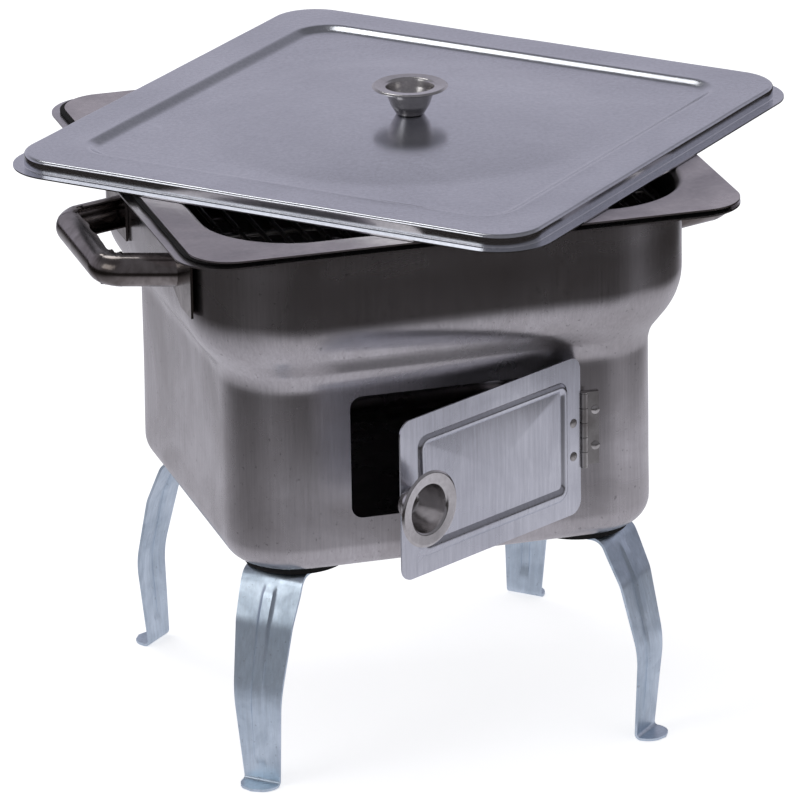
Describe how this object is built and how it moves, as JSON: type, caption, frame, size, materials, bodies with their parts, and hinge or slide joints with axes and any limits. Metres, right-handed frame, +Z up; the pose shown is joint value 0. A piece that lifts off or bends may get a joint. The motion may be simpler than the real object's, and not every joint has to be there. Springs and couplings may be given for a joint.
{
  "type": "sheet metal barbecue",
  "caption": "Square sheet metal charcoal barbecue on strip legs, with a hinged ash door, a lift-out fire pan and grid, side handles and a flat lid laid askew.",
  "frame": {"origin": "on the ground, in the plane of the four feet, under the middle of the whole part's box; the body's own axis stands at x = -17.5 mm, y = -16.5 mm, because the lid lies askew and the door stands open", "axes": "+Z up, the ash door faces -Y, the left handle is on -X"},
  "size_m": [0.4622, 0.4898, 0.3618],
  "materials": {
    "stainless_sheet": "brushed",
    "pan_steel": "satin",
    "door_steel": "satin",
    "knob_steel": "polished",
    "handle_steel": "polished",
    "hinge_steel": "satin",
    "zinc_plate": "satin",
    "grid_wire": "satin",
    "heat_proof_fibre": "matte"
  },
  "bodies": {
    "base": {"body_shell": "stainless_sheet", "rim_gasket": "heat_proof_fibre", "leg_front_left": "zinc_plate", "leg_front_right": "zinc_plate", "leg_back_left": "zinc_plate", "leg_back_right": "zinc_plate", "leg_disc_front_left": "heat_proof_fibre", "leg_disc_front_right": "heat_proof_fibre", "leg_disc_back_left": "heat_proof_fibre", "leg_disc_back_right": "heat_proof_fibre", "leg_bolts": "zinc_plate", "leg_nuts": "zinc_plate", "left_handle": "handle_steel", "right_handle": "handle_steel", "left_handle_front_strap": "handle_steel", "left_handle_back_strap": "handle_steel", "right_handle_front_strap": "handle_steel", "right_handle_back_strap": "handle_steel", "hinge_wall_leaf": "hinge_steel", "hinge_pin": "hinge_steel", "hinge_wall_rivets": "hinge_steel"},
    "door": {"door_panel": "door_steel", "door_knob": "knob_steel", "door_knob_rivet": "hinge_steel", "hinge_door_leaf": "hinge_steel", "hinge_door_rivets": "hinge_steel"},
    "fire_pan": {"fire_pan": "pan_steel"},
    "cooking_grid": {"cooking_grid": "grid_wire"},
    "lid": {"lid_panel": "stainless_sheet", "lid_knob": "knob_steel", "lid_knob_rivet": "hinge_steel"}
  },
  "joints": [
    {"name": "door_hinge", "type": "hinge", "parent": "base", "child": "door", "pos_m": [0.0576, -0.14556, 0.1978], "axis": [0, 0, 1], "range_deg": [-30, 120]},
    {"name": "fire_pan_lift", "type": "slide", "parent": "base", "child": "fire_pan", "axis": [0, 0, 1], "range_m": [0, 0.1]},
    {"name": "cooking_grid_lift", "type": "slide", "parent": "fire_pan", "child": "cooking_grid", "axis": [0, 0, 1], "range_m": [0, 0.06]},
    {"name": "lid_lift", "type": "slide", "parent": "cooking_grid", "child": "lid", "axis": [0, 0, 1], "range_m": [0, 0.15]}
  ]
}
